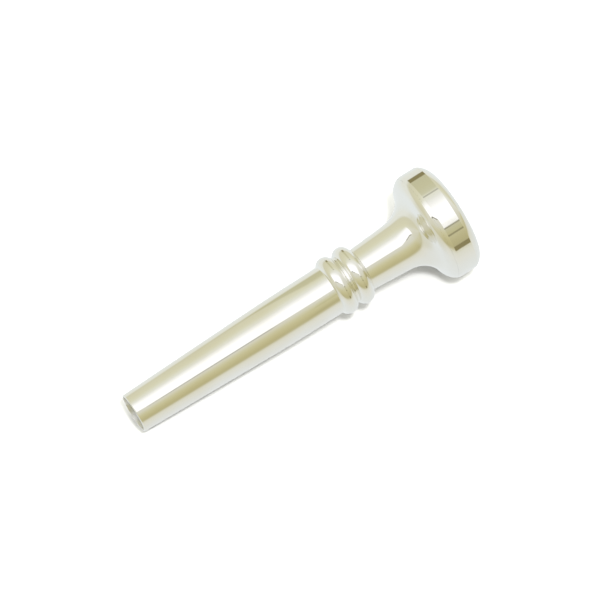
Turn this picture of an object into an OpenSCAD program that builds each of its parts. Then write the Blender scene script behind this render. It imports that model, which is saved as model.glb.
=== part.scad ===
// Modular trumpet-type mouthpiece: a tapered shank, a screw-in cup and a
// screw-on rim, with a seal ring at each screw joint.
// The axis lies along +X. The origin is the centre of the shank's end face.

/* [Overall] */
// Length from the shank's end face to the rim's highest point
length = 87.65; // [87.3:0.05:88.2]
// Outside diameter of the rim band
band_d = 27; // [26.6:0.1:27.6]

/* [Shank] */
// Outside diameter at the small end
tip_d = 9.64; // [9.5:0.02:9.8]
// Growth in diameter for each millimetre of length
taper = 0.058; // [0.056:0.001:0.06]
// Length of the straight taper
taper_len = 33; // [30:1:34]
// Length over which the taper eases into the straight neck
ease_len = 15.5; // [14:0.5:16]
// Diameter of the air passage at the small end
tip_bore_d = 8.7; // [8.4:0.1:8.8]
// Diameter of the air passage at the bottom of the socket
socket_bore_d = 4.6; // [4.4:0.1:4.8]

/* [Beads] */
// Diameter over the two beads
bead_d = 14.6; // [14.2:0.1:15]
// Radius of each bead's rounded section
bead_arc = 2.15; // [2:0.05:2.2]
// Distance of the first bead's middle from the end face
bead_at = 55.5; // [55.3:0.1:55.6]
// Spacing of the two beads
bead_step = 4.45; // [4.3:0.05:4.5]

/* [Socket] */
// Distance of the socket's mouth from the end face
mouth_at = 62.2; // [62.15:0.05:62.4]
// Diameter of the narrow lip at the mouth, where the second bead ends
lip_d = 11; // [10.9:0.05:11.1]
// Depth of the seal's pocket inside the mouth
pocket_len = 1.2; // [1.2:0.05:1.3]

/* [Cup] */
// Diameter of the throat barrel where it leaves the socket
barrel_d = 10.6; // [10.5:0.02:10.7]
// Diameter of the throat barrel where the flare starts
flare_d = 11.96; // [11.9:0.02:12.1]
// Distance of the flare's start from the end face
flare_at = 72.2; // [72.1:0.1:72.4]
// Radius of the flare's hollow curve
flare_arc = 7; // [6.8:0.1:7.1]
// Angle of the flare to the axis where it meets the rim
flare_angle = 71; // [70:0.5:72]
// Diameter of the throat bore
throat_d = 3.66; // [3.5:0.01:3.8]
// Length of the throat bore
throat_len = 2.6; // [2:0.1:3]
// Distance of the throat's cup end from the end face
throat_at = 75.2; // [75:0.1:75.3]
// Rounding between the throat and the bowl
throat_arc = 2.2; // [2.1:0.1:2.4]
// Depth of the bowl below its widest part
bowl_depth = 8.4; // [8.3:0.05:8.5]

/* [Rim] */
// Inside diameter between the rim's edges
cup_d = 16.4; // [16.2:0.1:16.5]
// Rounding of the rim's inner edge
bite_arc = 0.9; // [0.8:0.1:1]
// Angle turned through by the inner edge
bite_angle = 55; // [50:1:60]
// Distance of the band's upper edge from the end face
band_top = 85.3; // [85.2:0.05:85.4]
// Angle of the rim's rounded shoulder to the axis where it leaves the band
edge_tilt = 24; // [22:1:26]
// Rounding below the band's lower edge
corner_arc = 3.7; // [3.6:0.05:3.75]
// Angle of that rounding to the axis where it leaves the band
corner_tilt = 13.5; // [12.5:0.5:14.5]
// Distance of the rim joint from the end face
seat_at = 80.35; // [80.25:0.05:80.45]

/* [Threads] */
// Outside diameter of the stem's thread
stem_thread_d = 8; // [7.9:0.05:8.1]
// Pitch of the stem's thread
stem_pitch = 1; // [1]
// Outside diameter of the rim's thread
rim_thread_d = 20.8; // [20.7:0.05:20.85]
// Pitch of the rim's thread
rim_pitch = 0.6; // [0.6]
// Radial gap between a thread and its mate
thread_gap = 0.08; // [0.06:0.01:0.1]

/* [Seals] */
// Thickness of the ring at the cup's shoulder
cup_seal_d = 1; // [0.9:0.02:1]
// Thickness of the ring in the rim's lower face
rim_seal_d = 0.8; // [0.7:0.02:0.8]

/* [Hidden] */
$fn = 180;
// joint gap between the faces of two pieces that are screwed home
seam = 0.04;
// gap around each seal
seal_gap = 0.05;
tip_r = tip_d / 2;
band_r = band_d / 2;
neck_r = tip_r + taper / 2 * (taper_len + ease_len / 2);
tip_edge = 0.15;

// threads
stem_r = stem_thread_d / 2;
stem_depth = 0.6 * stem_pitch;
stem_root = stem_r - stem_depth;
stem_flank = 30;
stem_seg = 30;
stem_turns = 6;
stem_start = mouth_at - 8;
stem_end = mouth_at - 9.3;
stem_core = stem_root - 0.1;
socket_floor = stem_end - 0.5;
pocket_floor = mouth_at - pocket_len;
pocket_r = stem_root + 0.15 + cup_seal_d + 2 * seal_gap;
collar_r = stem_root + 0.15;
boss_r = rim_thread_d / 2;
boss_depth = 0.6 * rim_pitch;
boss_root = boss_r - boss_depth;
boss_core = boss_root - 0.1;
boss_seg = 48;
boss_turns = 3;
boss_top = seat_at + 4.55;
boss_start = seat_at + 1.5;
rim_pocket_r = boss_r + 0.15 + rim_seal_d + seal_gap;
rim_pocket = seat_at + rim_seal_d + 2 * seal_gap;

// flare: a straight barrel, a hollow curve, a cone and the rounding below the band
barrel_r = barrel_d / 2;
flare_r = flare_d / 2;
shoulder_at = mouth_at + seam;
barrel_angle = atan((flare_r - barrel_r) / (flare_at - shoulder_at));
flare_c = [flare_r + flare_arc * cos(barrel_angle), flare_at - flare_arc * sin(barrel_angle)];
hollow_end = flare_c + flare_arc * [-cos(flare_angle), sin(flare_angle)];
corner_r = band_r - corner_arc * cos(corner_tilt);
cone_top = corner_r + corner_arc * cos(flare_angle);
cone_end = hollow_end[1] + (cone_top - hollow_end[0]) / tan(flare_angle);
corner_at = cone_end + corner_arc * sin(flare_angle);
seat_angle = asin((corner_at - seat_at) / corner_arc);
lower_angle = asin((corner_at - seat_at - seam) / corner_arc);

// bowl and rim
throat_r = throat_d / 2;
cup_r = cup_d / 2;
bowl_top = length - 2.65;
bowl_r = cup_r - 0.1;
throat_turn = 69;
edge_arc = (length - band_top) / (1 - sin(edge_tilt));
crest_r = band_r - edge_arc * cos(edge_tilt);
dome_arc = (crest_r - cup_r - bite_arc * (1 - cos(bite_angle))) / sin(90 - bite_angle);
dome_at = length - dome_arc;
bite_at = dome_at + dome_arc * sin(bite_angle) - bite_arc * sin(bite_angle);

// points [radius, distance] along an arc from angle a to angle b
function arc(c, r, a, b, n) =
    [for (i = [0:n]) c + r * [cos(a + (b - a) * i / n), sin(a + (b - a) * i / n)]];

// radius of the shank's outside at distance x
function shank_r(x) =
    x <= taper_len ? tip_r + taper / 2 * x
    : neck_r - taper / 4 * pow(taper_len + ease_len - x, 2) / ease_len;

// radius of the air passage in the shank at distance x
function passage_r(x) =
    tip_bore_d / 2 + (socket_bore_d - tip_bore_d) / 2 * pow(x / socket_floor, 1.15);

// radius of the bowl at distance x
function bowl_at(x) = bowl_r * sqrt(1 - pow((bowl_top - x) / bowl_depth, 2));

// distance at which the bowl has radius r
function bowl_x(r) = bowl_top - bowl_depth * sqrt(1 - pow(r / bowl_r, 2));

// half the thickness of a thread's ridge at radius r, with a 60 degree section
function ridge_half(r, crest, pitch) = 0.075 * pitch + (crest - r) * tan(stem_flank);

// turns a profile of [radius, distance] points about the X axis
module lathe(points) {
    rotate([0, 90, 0])
        rotate_extrude()
            polygon(points);
}

// A solid right-hand screw along X with its ridge running from distance start.
// root and crest are [radius, half thickness of the ridge] pairs, low and high
// are the distances of its flat ends, and fade thins the ridge's two ends.
module screw(root, crest, pitch, start, turns, seg, low, high, fade) {
    last = turns * seg;
    rise = function (t) min(1, 0.25 + 3 * min(t, last - t) / seg);
    lift = function (t) fade ? root[0] + (crest[0] - root[0]) * rise(t) : crest[0];
    at = function (t, r, x) [r * cos(t * 360 / seg), r * sin(t * 360 / seg), x];
    ridge = [for (t = [0:last]) let (x = start + pitch * t / seg) each [
        at(t, root[0], x - root[1]),
        at(t, lift(t), x - crest[1]),
        at(t, lift(t), x + crest[1]),
        at(t, root[0], x + root[1])
    ]];
    ends = [for (x = [low, high]) each [for (i = [0:seg - 1]) at(i, root[0], x)]];
    v = function (t, p) 4 * t + p;
    e = function (side, i) 4 * (last + 1) + side * seg + i % seg;
    quad = function (a, b, c, d) [[a, b, c], [a, c, d]];
    flanks = [for (t = [0:last - 1]) for (p = [0:2])
        each quad(v(t, p), v(t, p + 1), v(t + 1, p + 1), v(t + 1, p))];
    grooves = [for (t = [0:last - seg - 1])
        each quad(v(t, 3), v(t + seg, 0), v(t + seg + 1, 0), v(t + 1, 3))];
    lower = [for (t = [0:seg - 2])
        each quad(e(0, t), v(t, 0), v(t + 1, 0), e(0, t + 1))];
    upper = [for (t = [1:seg - 1])
        each quad(v(last - seg + t, 3), e(1, t), e(1, t + 1), v(last - seg + t + 1, 3))];
    // the first and last flat beside the ridge's two square ends
    a = e(0, seg - 1);
    lower_seam = [
        [a, v(0, 0), e(0, 0)],
        [a, v(0, 3), v(0, 0)],
        [a, v(seg, 0), v(0, 3)],
        [a, v(seg - 1, 0), v(seg, 0)]
    ];
    b = v(last - seg + 1, 3);
    upper_seam = [
        [b, e(1, 0), e(1, 1)],
        [b, v(last, 3), e(1, 0)],
        [b, v(last, 0), v(last, 3)],
        [b, v(last - seg, 3), v(last, 0)]
    ];
    square_ends = [
        [v(0, 3), v(0, 2), v(0, 1), v(0, 0)],
        [v(last, 0), v(last, 1), v(last, 2), v(last, 3)]
    ];
    caps = [
        [for (i = [0:seg - 1]) e(0, i)],
        [for (i = [seg - 1:-1:0]) e(1, i)]
    ];
    faces = concat(flanks, grooves, lower, upper, lower_seam, upper_seam, square_ends, caps);
    rotate([0, 90, 0])
        polyhedron(concat(ridge, ends), faces);
}

// thread of the stem, or of its socket when gap is more than 0
module stem_screw(gap, before, turns, low, high) {
    r = stem_root + gap;
    c = stem_r + gap;
    screw([r, ridge_half(r, stem_r, stem_pitch) + gap * 0.75],
        [c, ridge_half(c, stem_r, stem_pitch) + gap * 0.75],
        stem_pitch, stem_start - before * stem_pitch, turns, stem_seg, low, high, gap == 0);
}

// thread of the cup's boss, or of the rim when gap is more than 0
module boss_screw(gap, before, turns, low, high) {
    r = boss_root + gap;
    c = boss_r + gap;
    screw([r, ridge_half(r, boss_r, rim_pitch) + gap * 0.75],
        [c, ridge_half(c, boss_r, rim_pitch) + gap * 0.75],
        rim_pitch, boss_start - before * rim_pitch, turns, boss_seg, low, high, gap == 0);
}

// tapered shank with two beads and the threaded socket
module shank() {
    eased = [for (i = [1:6]) taper_len + ease_len * i / 6];
    bored = [for (i = [8:-1:0]) socket_floor * i / 8];
    color([0.86, 0.86, 0.8])
        difference() {
            union() {
                lathe(concat(
                    [[tip_r - tip_edge, 0], [shank_r(tip_edge), tip_edge]],
                    [[shank_r(taper_len), taper_len]],
                    [for (x = eased) [shank_r(x), x]],
                    [
                        [neck_r, bead_at + bead_step],
                        [lip_d / 2, bead_at + bead_step],
                        [lip_d / 2, mouth_at],
                        [socket_bore_d / 2, mouth_at]
                    ],
                    [for (x = bored) [passage_r(x), x]]
                ));
                for (i = [0, 1])
                    rotate([0, 90, 0])
                        rotate_extrude()
                            translate([bead_d / 2 - bead_arc, bead_at + i * bead_step])
                                circle(r = bead_arc);
            }
            lathe([
                [0, pocket_floor],
                [pocket_r, pocket_floor],
                [pocket_r, mouth_at + 1],
                [0, mouth_at + 1]
            ]);
            stem_screw(thread_gap, 1, 10, socket_floor, mouth_at + 1);
        }
}

// seal ring at the cup's shoulder
module cup_seal() {
    color([0.12, 0.12, 0.12])
        rotate([0, 90, 0])
            rotate_extrude()
                translate([collar_r + seal_gap + cup_seal_d / 2, shoulder_at - seal_gap - cup_seal_d / 2])
                    circle(r = cup_seal_d / 2);
}

// cup with its throat, the threaded stem below and the threaded boss above
module cup() {
    low_r = bowl_r * 0.4;
    bowl = [for (i = [0:10]) boss_top + (bowl_x(low_r) - boss_top) * sin(i * 9)];
    color([0.86, 0.86, 0.8])
        difference() {
            union() {
                lathe(concat(
                    [[0, stem_end], [stem_core - 0.3, stem_end]],
                    [[stem_core, stem_end + 0.3], [stem_core, pocket_floor + 0.1]],
                    [[collar_r, pocket_floor + 0.1], [collar_r, shoulder_at]],
                    [[barrel_r - 0.1, shoulder_at], [barrel_r, shoulder_at + 0.1]],
                    arc(flare_c, flare_arc, 180 - barrel_angle, 180 - flare_angle, 10),
                    arc([corner_r, corner_at], corner_arc, -flare_angle, -seat_angle, 5),
                    [[boss_core, seat_at], [boss_core, boss_top], [0, boss_top]]
                ));
                stem_screw(0, 0, stem_turns, stem_end + 0.8, pocket_floor + 0.15);
                boss_screw(0, 0, boss_turns, seat_at + 1, boss_top - 0.7);
            }
            lathe(concat(
                [[0, stem_end - 1], [socket_bore_d / 2, stem_end - 1]],
                [[socket_bore_d / 2, stem_end], [throat_r, throat_at - throat_len]],
                arc([throat_r + throat_arc, throat_at], throat_arc, 180, 180 - throat_turn, 5),
                [for (i = [9:-1:0]) [bowl_at(bowl[i]), bowl[i]]],
                [[bowl_at(boss_top), boss_top + 1], [0, boss_top + 1]]
            ));
        }
}

// seal ring in the rim's lower face
module rim_seal() {
    color([0.12, 0.12, 0.12])
        rotate([0, 90, 0])
            rotate_extrude()
                translate([boss_r + 0.15 + rim_seal_d / 2, seat_at + seal_gap + rim_seal_d / 2])
                    circle(r = rim_seal_d / 2);
}

// rim with the outer band and the internal thread
module rim() {
    shoulder = boss_top + seam;
    low = seat_at + seam;
    color([0.88, 0.88, 0.82])
        difference() {
            lathe(concat(
                [[bowl_at(boss_top), rim_pocket], [rim_pocket_r, rim_pocket], [rim_pocket_r, low]],
                arc([corner_r, corner_at], corner_arc, -lower_angle, -corner_tilt, 2),
                arc([crest_r, length - edge_arc], edge_arc, edge_tilt, 90, 9),
                arc([crest_r, dome_at], dome_arc, 90, 180 - bite_angle, 6),
                arc([cup_r + bite_arc, bite_at], bite_arc, 180 - bite_angle, 180, 6),
                [[bowl_at(boss_top), shoulder]]
            ));
            boss_screw(thread_gap, 3, 7, seat_at - 1, shoulder);
        }
}

shank();
cup_seal();
cup();
rim_seal();
rim();
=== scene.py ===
"""A silver-plated brass trumpet-type mouthpiece lying on a white table.

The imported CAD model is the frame. Each metal piece is turned here as one fine
closed mesh on the same profile as its CAD node, with its screw thread cut into
the mesh, and it rides on its own body.
"""

import bpy
import math
from mathutils import Matrix, Vector


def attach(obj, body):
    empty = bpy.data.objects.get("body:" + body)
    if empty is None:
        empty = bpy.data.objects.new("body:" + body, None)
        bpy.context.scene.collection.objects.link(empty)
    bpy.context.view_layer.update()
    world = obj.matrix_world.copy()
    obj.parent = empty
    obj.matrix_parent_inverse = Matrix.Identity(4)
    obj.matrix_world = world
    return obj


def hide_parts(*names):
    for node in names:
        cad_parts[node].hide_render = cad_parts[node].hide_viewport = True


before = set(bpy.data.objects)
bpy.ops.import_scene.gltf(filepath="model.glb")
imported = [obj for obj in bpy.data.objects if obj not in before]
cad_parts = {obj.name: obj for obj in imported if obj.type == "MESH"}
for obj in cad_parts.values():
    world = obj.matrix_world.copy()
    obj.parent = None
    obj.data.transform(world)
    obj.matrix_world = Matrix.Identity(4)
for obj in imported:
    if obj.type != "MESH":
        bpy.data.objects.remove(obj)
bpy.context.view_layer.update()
MM = 0.001

# ---------------------------------------------------------------- dimensions
# millimetres, the same driving sizes as the CAD model
LENGTH = 87.65
BAND_R = 13.5
TIP_R = 4.82
TAPER = 0.058
TAPER_LEN = 33.0
EASE_LEN = 15.5
TIP_BORE_R = 4.35
SOCKET_BORE_R = 2.3
BEAD_R = 7.3
BEAD_ARC = 2.15
BEAD_AT = 55.5
BEAD_STEP = 4.45
MOUTH = 62.2
LIP_R = 5.5
POCKET_LEN = 1.2
BARREL_R = 5.3
FLARE_R = 5.98
FLARE_AT = 72.2
FLARE_ARC = 7.0
FLARE_ANGLE = 71.0
THROAT_R = 1.83
THROAT_LEN = 2.6
THROAT_AT = 75.2
THROAT_ARC = 2.2
THROAT_TURN = 69.0
BOWL_DEPTH = 8.4
CUP_R = 8.2
BITE_ARC = 0.9
BITE_ANGLE = 55.0
BAND_TOP = 85.3
EDGE_TILT = 24.0
CORNER_ARC = 3.7
CORNER_TILT = 13.5
SEAT = 80.35
SEAM = 0.04
GAP = 0.08
SEAL_GAP = 0.05
CUP_SEAL_R = 0.5
RIM_SEAL_R = 0.4

NECK_R = TIP_R + TAPER / 2 * (TAPER_LEN + EASE_LEN / 2)
POCKET = MOUTH - POCKET_LEN
SHOULDER = MOUTH + SEAM
STEM_END = MOUTH - 9.3
SOCKET_FLOOR = STEM_END - 0.5
BOSS_TOP = SEAT + 4.55
BOWL_TOP = LENGTH - 2.65
BOWL_R = CUP_R - 0.1
EDGE_ARC = (LENGTH - BAND_TOP) / (1 - math.sin(math.radians(EDGE_TILT)))
CREST_R = BAND_R - EDGE_ARC * math.cos(math.radians(EDGE_TILT))

# each thread: outside radius, pitch, distance of its first ridge, turns
STEM = {"r": 4.0, "pitch": 1.0, "start": MOUTH - 8, "turns": 6}
BOSS = {"r": 10.4, "pitch": 0.6, "start": SEAT + 1.5, "turns": 3}
# depth and crest of a thread as parts of its pitch, and half its angle
THREAD_DEPTH = 0.6
CREST_HALF = 0.075
FLANK_ANGLE = 30
GROOVE_EXTRA = 0.06
for thread in (STEM, BOSS):
    thread["root"] = thread["r"] - THREAD_DEPTH * thread["pitch"]
# plain lengths at the ends of the threads, and how far they sink below the root
STEM_NOSE = 0.8
STEM_LEAD = 0.3
BOSS_FOOT = 1.0
BOSS_NOSE = 0.7
SUNK = 0.1
END_CLEAR = 0.05
SEAL_STEP = 0.15
COLLAR_R = STEM["root"] + SEAL_STEP
POCKET_R = COLLAR_R + 2 * CUP_SEAL_R + 2 * SEAL_GAP
RIM_POCKET_R = BOSS["r"] + SEAL_STEP + 2 * RIM_SEAL_R + SEAL_GAP
RIM_POCKET = SEAT + 2 * RIM_SEAL_R + 2 * SEAL_GAP

# how fine the meshes are, and how round and how tight their edges are
AROUND = 320
CUP_SEAL_AROUND = 128
RIM_SEAL_AROUND = 192
ROW_STEP = 0.05
EDGE_ROUND = 0.07
CRISP_ROUND = 0.008
RIM_GAP = 0.008
TIP_CHAMFER = 0.15
BARREL_CHAMFER = 0.1
PASSAGE_CURVE = 1.15
PARTING_LINE = 0.015
NEARLY = 0.01


# ------------------------------------------------------------------ profiles
# a profile is a list of (radius, distance) points in millimetres
def arc(centre, radius, start, end, steps):
    """Points on an arc from one angle to another, in degrees."""
    points = []
    for i in range(steps + 1):
        a = math.radians(start + (end - start) * i / steps)
        points.append((centre[0] + radius * math.cos(a), centre[1] + radius * math.sin(a)))
    return points


def shank_r(x):
    """Radius of the shank's outside at distance x."""
    if x <= TAPER_LEN:
        return TIP_R + TAPER / 2 * x
    left = max(TAPER_LEN + EASE_LEN - x, 0)
    return NECK_R - TAPER / 4 * left**2 / EASE_LEN


def passage_r(x):
    """Radius of the air passage in the shank at distance x."""
    return TIP_BORE_R + (SOCKET_BORE_R - TIP_BORE_R) * (x / SOCKET_FLOOR) ** PASSAGE_CURVE


def bowl_at(x):
    """Radius of the bowl at distance x."""
    return BOWL_R * math.sqrt(1 - ((BOWL_TOP - x) / BOWL_DEPTH) ** 2)


def bowl_x(r):
    """Distance at which the bowl has radius r."""
    return BOWL_TOP - BOWL_DEPTH * math.sqrt(1 - (r / BOWL_R) ** 2)


def rows(r, start, end):
    """Closely spaced points of one radius, for a length that takes a thread."""
    count = max(1, round(abs(end - start) / ROW_STEP))
    return [(r, start + (end - start) * i / count) for i in range(count + 1)]


def soften(points, size, turn=14.0, steps=4):
    """Rounds each corner of a closed profile that turns by more than turn degrees.

    The corners at the rim joint keep a much smaller rounding, so it closes tight.
    """
    out = []
    count = len(points)
    for i, here in enumerate(points):
        p = Vector(here)
        before = Vector(points[i - 1]) - p
        after = Vector(points[(i + 1) % count]) - p
        if min(before.length, after.length) < 1e-6:
            continue
        bend = 180 - math.degrees(before.angle(after))
        if bend < turn:
            out.append(here)
            continue
        at_joint = abs(p.y - SEAT) < 2 * SEAM
        cut = min(CRISP_ROUND if at_joint else size, before.length * 0.45, after.length * 0.45)
        a = p + before.normalized() * cut
        b = p + after.normalized() * cut
        for k in range(steps + 1):
            t = k / steps
            q = a * (1 - t) ** 2 + p * 2 * t * (1 - t) + b * t**2
            out.append((q.x, q.y))
    return out


def ridge(thread, x, angle, gap=0.0):
    """Height of a thread's ridge above its root, from 0 to 1, and the turns made there."""
    pitch = thread["pitch"]
    along = (x - thread["start"]) / pitch - angle / (2 * math.pi)
    nearest = round(along)
    off = abs(along - nearest) * pitch
    turn = nearest + angle / (2 * math.pi)
    crest_half = CREST_HALF * pitch + gap
    root_half = crest_half + THREAD_DEPTH * pitch * math.tan(math.radians(FLANK_ANGLE))
    height = (root_half - off) / (root_half - crest_half)
    height = min(max(height, 0.0), 1.0)
    return height * height * (3 - 2 * height), turn


def male(thread, low, high):
    """A change of radius that raises a thread's ridge between two distances."""

    def change(r, x, angle):
        if not low <= x <= high or abs(r - thread["root"]) > NEARLY:
            return r
        height, turn = ridge(thread, x, angle)
        left = min(turn, thread["turns"] - turn)
        if left < 0:
            return r
        full_height = min(1, 0.25 + 3 * left)
        return r + height * (thread["r"] - thread["root"]) * full_height

    return change


def female(thread, low, high):
    """A change of radius that cuts a thread's groove between two distances."""

    def change(r, x, angle):
        if not low <= x <= high or abs(r - thread["root"] - GAP) > NEARLY:
            return r
        height, _ = ridge(thread, x, angle, GROOVE_EXTRA)
        return r + height * (thread["r"] - thread["root"])

    return change


def bead(number, upper_r):
    """The round of one bead, from the neck up and down again to upper_r."""
    centre = BEAD_R - BEAD_ARC
    low, high = (math.degrees(math.acos((r - centre) / BEAD_ARC)) for r in (NECK_R, upper_r))
    return arc((centre, BEAD_AT + number * BEAD_STEP), BEAD_ARC, -low, high, 28)


def shank_profile():
    """Taper, neck, beads and lip outside; socket and air passage inside."""
    points = [(TIP_BORE_R, 0), (TIP_R - TIP_CHAMFER, 0), (shank_r(TIP_CHAMFER), TIP_CHAMFER)]
    points += [(shank_r(x), x) for x in range(3, int(TAPER_LEN) + 1, 3)]
    eased = [TAPER_LEN + i / 2 for i in range(1, int(2 * EASE_LEN) + 1)]
    points += [(shank_r(x), x) for x in eased]
    points += bead(0, NECK_R) + bead(1, LIP_R)
    points += [(LIP_R, MOUTH), (POCKET_R, MOUTH), (POCKET_R, POCKET)]
    points += rows(STEM["root"] + GAP, POCKET, SOCKET_FLOOR)
    bored = [SOCKET_FLOOR * i / 24 for i in range(24, 0, -1)]
    points += [(passage_r(x), x) for x in bored]
    return points


def cup_profile():
    """Stem, barrel, flare and boss outside; bowl and throat inside."""
    slope = math.degrees(math.atan((FLARE_R - BARREL_R) / (FLARE_AT - SHOULDER)))
    s, c = math.sin(math.radians(slope)), math.cos(math.radians(slope))
    hollow = (FLARE_R + FLARE_ARC * c, FLARE_AT - FLARE_ARC * s)
    stem_core = STEM["root"] - SUNK
    boss_core = BOSS["root"] - SUNK
    collar = POCKET + SUNK
    points = [(SOCKET_BORE_R, STEM_END), (stem_core - STEM_LEAD, STEM_END)]
    points += [(stem_core, STEM_END + STEM_LEAD), (stem_core, STEM_END + STEM_NOSE)]
    points += rows(STEM["root"], STEM_END + STEM_NOSE, collar)
    points += [(COLLAR_R, collar), (COLLAR_R, SHOULDER)]
    points += [(BARREL_R - BARREL_CHAMFER, SHOULDER), (BARREL_R, SHOULDER + BARREL_CHAMFER)]
    points += arc(hollow, FLARE_ARC, 180 - slope, 180 - FLARE_ANGLE, 40)
    points += arc(corner_centre(), CORNER_ARC, -FLARE_ANGLE, -corner_angle(0), 14)
    points += [(boss_core, SEAT), (boss_core, SEAT + BOSS_FOOT)]
    points += rows(BOSS["root"], SEAT + BOSS_FOOT, BOSS_TOP - BOSS_NOSE)
    points += [(boss_core, BOSS_TOP - BOSS_NOSE), (boss_core, BOSS_TOP)]
    low = bowl_x(BOWL_R * 0.4)
    bowl = [BOSS_TOP + (low - BOSS_TOP) * math.sin(math.radians(i * 3)) for i in range(31)]
    points += [(bowl_at(x), x) for x in bowl]
    points += arc((THROAT_R + THROAT_ARC, THROAT_AT), THROAT_ARC, 180 - THROAT_TURN, 180, 12)
    points += [(THROAT_R, THROAT_AT - THROAT_LEN)]
    return points


def corner_centre():
    """Centre of the rounding below the band, tangent to the flare's cone."""
    slope = math.atan((FLARE_R - BARREL_R) / (FLARE_AT - SHOULDER))
    turn = math.radians(FLARE_ANGLE)
    end_r = FLARE_R + FLARE_ARC * (math.cos(slope) - math.cos(turn))
    end_x = FLARE_AT + FLARE_ARC * (math.sin(turn) - math.sin(slope))
    centre_r = BAND_R - CORNER_ARC * math.cos(math.radians(CORNER_TILT))
    top_r = centre_r + CORNER_ARC * math.cos(turn)
    top_x = end_x + (top_r - end_r) / math.tan(turn)
    return centre_r, top_x + CORNER_ARC * math.sin(turn)


def corner_angle(lift):
    """Angle on that rounding at the rim joint, or lift above it."""
    return math.degrees(math.asin((corner_centre()[1] - SEAT - lift) / CORNER_ARC))


def rim_profile():
    """Band and rounded rim outside; shoulder, thread and seal pocket inside."""
    dome = CREST_R - CUP_R - BITE_ARC * (1 - math.cos(math.radians(BITE_ANGLE)))
    dome /= math.cos(math.radians(BITE_ANGLE))
    dome_x = LENGTH - dome
    bite_x = dome_x + (dome - BITE_ARC) * math.sin(math.radians(BITE_ANGLE))
    minor = BOSS["root"] + GAP
    points = [(RIM_POCKET_R, SEAT + RIM_GAP)]
    points += arc(corner_centre(), CORNER_ARC, -corner_angle(RIM_GAP), -CORNER_TILT, 12)
    points += arc((CREST_R, LENGTH - EDGE_ARC), EDGE_ARC, EDGE_TILT, 90, 36)
    points += arc((CREST_R, dome_x), dome, 90, 180 - BITE_ANGLE, 24)[1:]
    points += arc((CUP_R + BITE_ARC, bite_x), BITE_ARC, 180 - BITE_ANGLE, 180, 16)[1:]
    points += [(bowl_at(BOSS_TOP), BOSS_TOP + SEAM)]
    points += rows(minor, BOSS_TOP + SEAM, RIM_POCKET)
    points += [(RIM_POCKET_R, RIM_POCKET)]
    return points


def seal_profile(centre_r, centre_x, r):
    """A ring's round section with the faint parting line left by its mould."""
    points = []
    for i in range(40):
        a = 2 * math.pi * i / 40
        line = PARTING_LINE * max(0.0, math.cos(2 * a)) ** 24
        swell = r - PARTING_LINE + line
        points.append((centre_r + swell * math.cos(a), centre_x + swell * math.sin(a)))
    return points


# -------------------------------------------------------------------- meshes
def turned(name, profile, material, body, node, change=None, around=AROUND, dull=None):
    """One closed mesh turned about X from a closed profile, in place of a CAD node.

    dull is a radius: the air passage inside it keeps its plain machined finish.
    """
    area = 0.0
    for i, (r, x) in enumerate(profile):
        next_r, next_x = profile[(i + 1) % len(profile)]
        area += r * next_x - next_r * x
    if area < 0:
        profile = profile[::-1]
    verts = []
    for r, x in profile:
        for k in range(around):
            a = 2 * math.pi * k / around
            radius = change(r, x, a) if change else r
            verts.append((x * MM, radius * math.sin(a) * MM, -radius * math.cos(a) * MM))
    faces = []
    for i in range(len(profile)):
        j = (i + 1) % len(profile)
        for k in range(around):
            m = (k + 1) % around
            faces.append((i * around + k, i * around + m, j * around + m, j * around + k))
    mesh = bpy.data.meshes.new(name)
    mesh.from_pydata(verts, [], faces)
    mesh.materials.append(material)
    if dull:
        mesh.materials.append(bore)
    for polygon in mesh.polygons:
        polygon.use_smooth = True
        r, x = profile[polygon.index // around]
        in_passage = dull and r < dull and x < THROAT_AT - THROAT_LEN
        polygon.material_index = 1 if in_passage else 0
    mesh.update()
    piece = bpy.data.objects.new(name, mesh)
    bpy.context.scene.collection.objects.link(piece)
    weighted = piece.modifiers.new("even_normals", "WEIGHTED_NORMAL")
    weighted.mode = "FACE_AREA"
    weighted.weight = 60
    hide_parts(node)
    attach(piece, body)


# ----------------------------------------------------------------- materials
def new_material(name):
    material = bpy.data.materials.new(name)
    material.use_nodes = True
    return material, material.node_tree.nodes, material.node_tree.links


def node(nodes, kind, **values):
    made = nodes.new(kind)
    for key, value in values.items():
        setattr(made, key, value)
    return made


def noise(nodes, links, scale, detail, stretch=(1, 1, 1)):
    """Noise that stays with the piece."""
    coords = node(nodes, "ShaderNodeTexCoord")
    mapping = node(nodes, "ShaderNodeMapping")
    mapping.inputs["Scale"].default_value = stretch
    links.new(coords.outputs["Object"], mapping.inputs["Vector"])
    made = node(nodes, "ShaderNodeTexNoise")
    made.inputs["Scale"].default_value = scale
    made.inputs["Detail"].default_value = detail
    links.new(mapping.outputs["Vector"], made.inputs["Vector"])
    return made.outputs["Fac"]


def spread(nodes, links, source, low, high, first, last):
    """Takes the part of a noise between low and high to first and last."""
    made = node(nodes, "ShaderNodeMapRange")
    made.inputs["From Min"].default_value = low
    made.inputs["From Max"].default_value = high
    made.inputs["To Min"].default_value = first
    made.inputs["To Max"].default_value = last
    links.new(source, made.inputs["Value"])
    return made.outputs["Result"]


def two_tone(nodes, links, factor, one, other):
    """Goes from one colour to the other."""
    made = node(nodes, "ShaderNodeMix", data_type="RGBA")
    made.inputs["A"].default_value = (*one, 1)
    made.inputs["B"].default_value = (*other, 1)
    links.new(factor, made.inputs["Factor"])
    return made.outputs["Result"]


def bump(nodes, links, height, strength, distance, under=None):
    """A bumpy surface, on top of another one where under is given."""
    made = node(nodes, "ShaderNodeBump")
    made.inputs["Strength"].default_value = strength
    made.inputs["Distance"].default_value = distance
    links.new(height, made.inputs["Height"])
    if under:
        links.new(under, made.inputs["Normal"])
    return made.outputs["Normal"]


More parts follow.
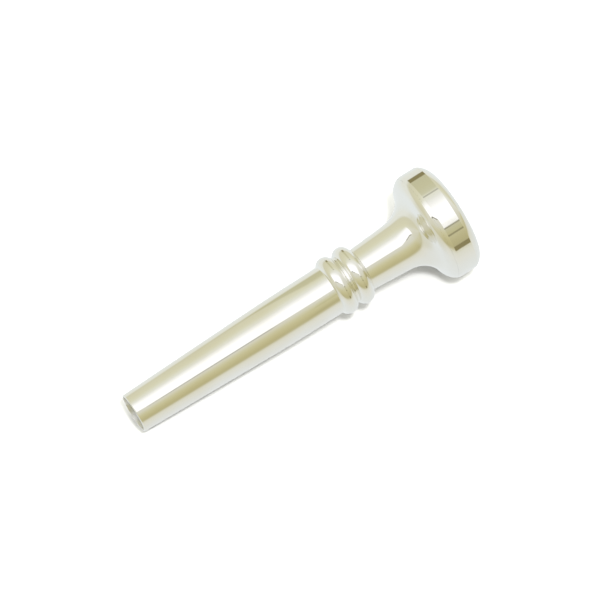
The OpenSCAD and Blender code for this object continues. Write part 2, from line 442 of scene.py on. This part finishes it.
def silver(name, clean, filmed, roughness, lathe_lines):
    """Silver plate: lathe lines, a slight ripple, dull handling marks."""
    material, nodes, links = new_material(name)
    shader = nodes["Principled BSDF"]
    shader.inputs["Metallic"].default_value = 1.0
    # colour: clean plate with a faint warm film in soft patches
    patches = spread(nodes, links, noise(nodes, links, 90, 3), 0.42, 0.7, 0.0, 1.0)
    colour = two_tone(nodes, links, patches, clean, filmed)
    links.new(colour, shader.inputs["Base Color"])
    # roughness: bright polish, a little duller where it has been handled
    handled = spread(nodes, links, noise(nodes, links, 160, 4), 0.35, 0.75, *roughness)
    links.new(handled, shader.inputs["Roughness"])
    # surface: rings left by turning and polishing, and a slight ripple
    rings = noise(nodes, links, 2600, 2, (1, 0.012, 0.012))
    turned_surface = bump(nodes, links, rings, lathe_lines, 0.00002)
    ripple = noise(nodes, links, 260, 1)
    surface = bump(nodes, links, ripple, 0.03, 0.0001, turned_surface)
    links.new(surface, shader.inputs["Normal"])
    return material


def rubber(name):
    """Black nitrile rubber with a dusty bloom."""
    material, nodes, links = new_material(name)
    shader = nodes["Principled BSDF"]
    bloom = noise(nodes, links, 3000, 4)
    colour = two_tone(nodes, links, bloom, (0.012, 0.012, 0.012), (0.035, 0.034, 0.032))
    links.new(colour, shader.inputs["Base Color"])
    shader.inputs["Roughness"].default_value = 0.5
    links.new(bump(nodes, links, bloom, 0.2, 0.00002), shader.inputs["Normal"])
    return material


plate = silver(
    "silver_plate", (0.905, 0.9, 0.865), (0.885, 0.87, 0.81),
    roughness=(0.035, 0.085), lathe_lines=0.035,
)
bore = silver(
    "bored_silver_plate", (0.92, 0.92, 0.9), (0.85, 0.84, 0.8),
    roughness=(0.3, 0.42), lathe_lines=0.3,
)
black = rubber("seal_rubber")

# -------------------------------------------------------------------- pieces
def cup_thread(r, x, angle):
    """Both threads of the cup: the stem's below the barrel, the boss's above it."""
    r = male(STEM, STEM_END + STEM_NOSE + END_CLEAR, POCKET)(r, x, angle)
    low = SEAT + BOSS_FOOT + END_CLEAR
    return male(BOSS, low, BOSS_TOP - BOSS_NOSE - END_CLEAR)(r, x, angle)


turned(
    "turned_shank", soften(shank_profile(), EDGE_ROUND), plate, "shank", "shank",
    female(STEM, SOCKET_FLOOR + 2 * END_CLEAR, POCKET),
    dull=TIP_BORE_R + NEARLY,
)
turned(
    "turned_cup", soften(cup_profile(), EDGE_ROUND), plate, "cup", "cup",
    cup_thread, dull=SOCKET_BORE_R + NEARLY,
)
turned(
    "turned_rim", soften(rim_profile(), EDGE_ROUND), plate, "rim", "rim",
    female(BOSS, RIM_POCKET, BOSS_TOP - END_CLEAR),
)
turned(
    "moulded_cup_seal",
    seal_profile(COLLAR_R + SEAL_GAP + CUP_SEAL_R, SHOULDER - SEAL_GAP - CUP_SEAL_R, CUP_SEAL_R),
    black, "cup_seal", "cup_seal", around=CUP_SEAL_AROUND,
)
turned(
    "moulded_rim_seal",
    seal_profile(BOSS["r"] + SEAL_STEP + RIM_SEAL_R, SEAT + SEAL_GAP + RIM_SEAL_R, RIM_SEAL_R),
    black, "rim_seal", "rim_seal", around=RIM_SEAL_AROUND,
)

# distance of the point that the camera and the lamp face
AIM_AT = 44.0

# --------------------------------------------------------------------- table
# the mouthpiece lies on the edge of its tip and on its band, so the table
# leans to touch both
tip_low = Vector((0, 0, -TIP_R * MM))
band_low = Vector((corner_centre()[1] * MM, 0, -BAND_R * MM))
lean = math.atan2(tip_low.z - band_low.z, band_low.x - tip_low.x)
table_normal = Vector((math.sin(lean), 0, math.cos(lean)))
along_table = Vector((math.cos(lean), 0, -math.sin(lean)))
near_side = Vector((0, -1, 0))

TABLE_HALF = 3.0
TABLE_CLEAR = 0.00002
floor_mesh = bpy.data.meshes.new("table_top")
corners = []
for a, b in ((-1, -1), (1, -1), (1, 1), (-1, 1)):
    corner = band_low + along_table * a * TABLE_HALF + Vector((0, b * TABLE_HALF, 0))
    corners.append(corner - table_normal * TABLE_CLEAR)
floor_mesh.from_pydata(corners, [], [(0, 1, 2, 3)])
floor = bpy.data.objects.new("table_top", floor_mesh)
bpy.context.scene.collection.objects.link(floor)
floor_material, floor_nodes, _ = new_material("white_table")
floor_shader = floor_nodes["Principled BSDF"]
floor_shader.inputs["Base Color"].default_value = (0.9, 0.9, 0.9, 1)
floor_shader.inputs["Roughness"].default_value = 1.0
floor_shader.inputs["Specular IOR Level"].default_value = 0.0
floor_mesh.materials.append(floor_material)
# the polished metal mirrors the room's painted floor, which is a little darker
floor.visible_glossy = False

# --------------------------------------------------------------------- light
# a pale room around the table: a wide panel overhead, warm walls, grey floor
world = bpy.data.worlds.new("studio")
bpy.context.scene.world = world
world.use_nodes = True
wn, wl = world.node_tree.nodes, world.node_tree.links
background = wn["Background"]
direction = node(wn, "ShaderNodeTexCoord")


def dot(vector):
    made = node(wn, "ShaderNodeVectorMath", operation="DOT_PRODUCT")
    made.inputs[1].default_value = vector
    wl.new(direction.outputs["Generated"], made.inputs[0])
    return made.outputs["Value"]


def maths(operation, a, b=None, c=None):
    made = node(wn, "ShaderNodeMath", operation=operation)
    for socket, value in zip(made.inputs, (a, b, c)):
        if value is None:
            continue
        if isinstance(value, (int, float)):
            socket.default_value = value
        else:
            wl.new(value, socket)
    return made.outputs[0]


def smooth(value, low, high, top=1.0):
    """Rises softly from 0 at low to top at high."""
    made = node(wn, "ShaderNodeMapRange", interpolation_type="SMOOTHSTEP")
    made.inputs["From Min"].default_value = low
    made.inputs["From Max"].default_value = high
    made.inputs["To Max"].default_value = top
    wl.new(value, made.inputs["Value"])
    return made.outputs["Result"]


def colour_ramp(value, stops):
    made = node(wn, "ShaderNodeValToRGB")
    elements = made.color_ramp.elements
    while len(elements) < len(stops):
        elements.new(0.5)
    for element, (at, colour) in zip(elements, stops):
        element.position = at / 360
        element.color = (*colour, 1)
    wl.new(value, made.inputs["Fac"])
    return made.outputs["Color"]


def mix_colour(factor, a, b):
    made = node(wn, "ShaderNodeMix", data_type="RGBA")
    wl.new(factor, made.inputs["Factor"])
    for name, value in (("A", a), ("B", b)):
        if isinstance(value, tuple):
            made.inputs[name].default_value = (*value, 1)
        else:
            wl.new(value, made.inputs[name])
    return made.outputs["Result"]


def window(value, low, high, edge, top=1.0):
    """1 between low and high, falling softly to 0 within edge outside them."""
    rise = smooth(value, low - edge, low, top)
    return maths("MULTIPLY", rise, smooth(value, high + edge, high))


down = dot(-table_normal)
near = dot(near_side)
side = dot(along_table)
# angle in the plane across the axis, in degrees: 0 straight down, 90 the near
# horizon, 180 overhead, 270 the far horizon
turn = maths("DEGREES", maths("ARCTAN2", near, down))
turn = maths("FLOORED_MODULO", turn, 360.0)
ROOM = (
    (0, (0.82, 0.85, 0.85)),
    (40, (0.81, 0.83, 0.81)),
    (62, (0.81, 0.81, 0.75)),
    (77, (0.78, 0.775, 0.68)),
    (84, (0.72, 0.7, 0.55)),
    (88, (0.6, 0.57, 0.38)),
    (94, (0.525, 0.485, 0.275)),
    (104, (0.565, 0.52, 0.29)),
    (118, (0.62, 0.58, 0.345)),
    (129, (0.665, 0.635, 0.425)),
    (136, (0.705, 0.685, 0.52)),
    (144, (0.73, 0.72, 0.62)),
    (198, (0.88, 0.88, 0.83)),
    (210, (0.82, 0.82, 0.71)),
    (222, (0.76, 0.75, 0.58)),
    (235, (0.73, 0.71, 0.52)),
    (265, (0.69, 0.67, 0.5)),
    (271, (0.76, 0.76, 0.66)),
    (276, (0.83, 0.84, 0.77)),
    (290, (0.835, 0.845, 0.79)),
    (302, (0.84, 0.87, 0.85)),
    (322, (0.85, 0.89, 0.9)),
    (360, (0.82, 0.85, 0.85)),
)
seen = colour_ramp(maths("DIVIDE", turn, 360.0), ROOM)
# end walls beyond the tip and the rim
tip_end = smooth(side, -0.72, -0.95, 0.6)
rim_end = smooth(side, 0.72, 0.95, 0.25)
seen = mix_colour(maths("ADD", tip_end, rim_end), seen, (0.68, 0.66, 0.5))

DARK = (0.1, 0.085, 0.04)
OLIVE = (0.3, 0.28, 0.06)
GREY = (0.3, 0.29, 0.29)
# strips that only the band mirrors: from and to turn, soft edge, the side where
# the strip starts, depth, colour
SHELVES = (
    (98, 118, 5, 0.145, 0.1, DARK),
    (123, 137, 2, 0.11, 0.26, OLIVE),
    (120.5, 123, 1, 0.135, 0.6, DARK),
    (220, 262, 8, 0.11, 0.3, OLIVE),
)
FRAME_EDGES = (
    (137, 139, 1, 0.11, 0.6, DARK),
    (212, 214, 1, 0.1, 0.45, DARK),
)


def strip(below, low, high, edge, starts, depth, colour):
    """Darkens a strip of the room between two angles, opposite the band only."""
    across_it = window(side, starts, 0.34, 0.02, depth)
    return mix_colour(maths("MULTIPLY", window(turn, low, high, edge), across_it), below, colour)


for shelf in SHELVES:
    seen = strip(seen, *shelf)

# the panel overhead hangs askew. A place on the ceiling is told by along and
# nearer: how far towards the rim and the near side, per unit of height
HORIZON = 0.02
NEAR_EDGE_AT = 0.56
NEAR_EDGE_SLANT = 0.42
NEAR_EDGE_STOPS = -1.05
BULGE = 0.24
FAR_EDGE_SLANT = -0.33
END_SLANT_ALONG = 0.93
END_SLANT_NEARER = 0.36
PANEL_COLOUR = (1.2, 1.2, 1.22)
high_up = maths("MAXIMUM", maths("MULTIPLY", down, -1.0), HORIZON)
along = maths("DIVIDE", side, high_up)
nearer = maths("DIVIDE", near, high_up)
bulge = window(along, 0.14, 0.24, 0.03, BULGE)
along_edge = maths("MAXIMUM", along, NEAR_EDGE_STOPS)
slanted = maths("MULTIPLY_ADD", along_edge, NEAR_EDGE_SLANT, NEAR_EDGE_AT)
past_edge = maths("SUBTRACT", nearer, maths("ADD", slanted, bulge))
askew = maths("MULTIPLY_ADD", along, FAR_EDGE_SLANT, nearer)
lengthwise = maths("MULTIPLY", along, END_SLANT_ALONG)
lengthwise = maths("ADD", lengthwise, maths("MULTIPLY", nearer, END_SLANT_NEARER))


def frame_line(below, across_edge, along_edge_part, colour):
    """A thin line outside the panel's near edge, over a part of its length."""
    share = maths("MULTIPLY", window(past_edge, *across_edge), window(along, *along_edge_part))
    return mix_colour(share, below, colour)


seen = frame_line(seen, (0.02, 0.07, 0.015, 0.9), (-1.4, -0.6, 0.1), DARK)
seen = frame_line(seen, (0.02, 0.11, 0.02, 0.5), (-0.02, 0.022, 0.012), GREY)
# each edge of the panel: the place, where it is still off, where it is fully on
panel = smooth(past_edge, 0.03, -0.03)
for place, off, on in (
    (askew, -0.5, 0.04),
    (lengthwise, -1.62, -1.5),
    (lengthwise, 0.75, 0.25),
    (down, -0.05, -0.15),
):
    panel = maths("MULTIPLY", panel, smooth(place, off, on))
seen = mix_colour(panel, seen, PANEL_COLOUR)
for edge in FRAME_EDGES:
    seen = strip(seen, *edge)

# white behind the object; the table is lit by an even white sky, and takes
# little light thrown back by the metal
SKY = (1.33, 1.34, 1.245)
THROWN_BACK = (0.1, 0.1, 0.1)
BACKDROP = (1.0, 1.0, 1.0)
ray = node(wn, "ShaderNodeLightPath")
thrown_back = maths("GREATER_THAN", ray.outputs["Diffuse Depth"], 0.5)
seen = mix_colour(thrown_back, seen, THROWN_BACK)
seen = mix_colour(ray.outputs["Is Diffuse Ray"], seen, SKY)
seen = mix_colour(ray.outputs["Is Camera Ray"], seen, BACKDROP)
wl.new(seen, background.inputs["Color"])
background.inputs["Strength"].default_value = 1.0

# a soft lamp over the near side keeps the table white and its shadow narrow
LAMP_SIZE = 0.09
LAMP_POWER = 4.1
LAMP_AWAY = 0.8
lamp_data = bpy.data.lights.new("soft_lamp", "AREA")
lamp_data.shape = "SQUARE"
lamp_data.size = LAMP_SIZE
lamp_data.energy = LAMP_POWER
lamp = bpy.data.objects.new("soft_lamp", lamp_data)
bpy.context.scene.collection.objects.link(lamp)
lamp_from = (table_normal * 0.95 + near_side * 0.33 - along_table * 0.06).normalized()
lamp.location = Vector((AIM_AT * MM, 0, 0)) + lamp_from * LAMP_AWAY
lamp.rotation_euler = lamp_from.to_track_quat("Z", "Y").to_euler()
lamp.visible_glossy = False
lamp.visible_camera = False

# two low cards on the table that glow a fixed dim olive instead of being lit, seen only in the
# polish of the rim as painted dark reflections: metres towards the near side, from and to along
# the table, and high
CARDS = {
    "near_card": (0.36, 0.122, 0.2, 0.066),
    "far_card": (-0.36, 0.125, 0.2, 0.085),
}
card_material, card_nodes, _ = new_material("dark_card_painted_glow")
card_shader = card_nodes["Principled BSDF"]
card_shader.inputs["Base Color"].default_value = (0, 0, 0, 1)
card_shader.inputs["Specular IOR Level"].default_value = 0.0
# painted glow: the cards emit this dim olive in place of the light that would fall on them
card_shader.inputs["Emission Color"].default_value = (0.275, 0.24, 0.118, 1)
card_shader.inputs["Emission Strength"].default_value = 1.0
for name, (away, left, right, height) in CARDS.items():
    foot = near_side * away + table_normal * -BAND_R * MM
    bottom = [foot + along_table * left, foot + along_table * right]
    top = [corner + table_normal * height for corner in bottom]
    card_mesh = bpy.data.meshes.new(name)
    card_mesh.from_pydata(bottom + top, [], [(0, 1, 3, 2)])
    card_mesh.materials.append(card_material)
    card = bpy.data.objects.new(name, card_mesh)
    bpy.context.scene.collection.objects.link(card)
    card.visible_camera = False
    card.visible_diffuse = False
    card.visible_shadow = False

# -------------------------------------------------------------------- camera
# a long lens above the near side, a little towards the tip
LENS = 314.5
DISTANCE = 1.2
CAMERA_ANGLE = math.radians(66.5)
TOWARDS_TIP = 0.16
AIM_RIGHT = 0.001172
AIM_UP = 0.002689
across = math.sqrt(1 - TOWARDS_TIP**2)
back = Vector((-TOWARDS_TIP, -across * math.cos(CAMERA_ANGLE), across * math.sin(CAMERA_ANGLE)))
cam_up = (table_normal - back * table_normal.dot(back)).normalized()
cam_right = cam_up.cross(back)
middle = Vector((AIM_AT * MM, 0, 0))
camera_data = bpy.data.cameras.new("camera")
camera_data.lens = LENS
camera_data.clip_start = 0.05
camera_data.clip_end = 20
camera = bpy.data.objects.new("camera", camera_data)
place = middle + cam_right * AIM_RIGHT + cam_up * AIM_UP + back * DISTANCE
camera.matrix_world = Matrix(
    (
        (cam_right.x, cam_up.x, back.x, place.x),
        (cam_right.y, cam_up.y, back.y, place.y),
        (cam_right.z, cam_up.z, back.z, place.z),
        (0, 0, 0, 1),
    )
)
bpy.context.scene.collection.objects.link(camera)
bpy.context.scene.camera = camera
bpy.context.scene.view_settings.view_transform = "Standard"
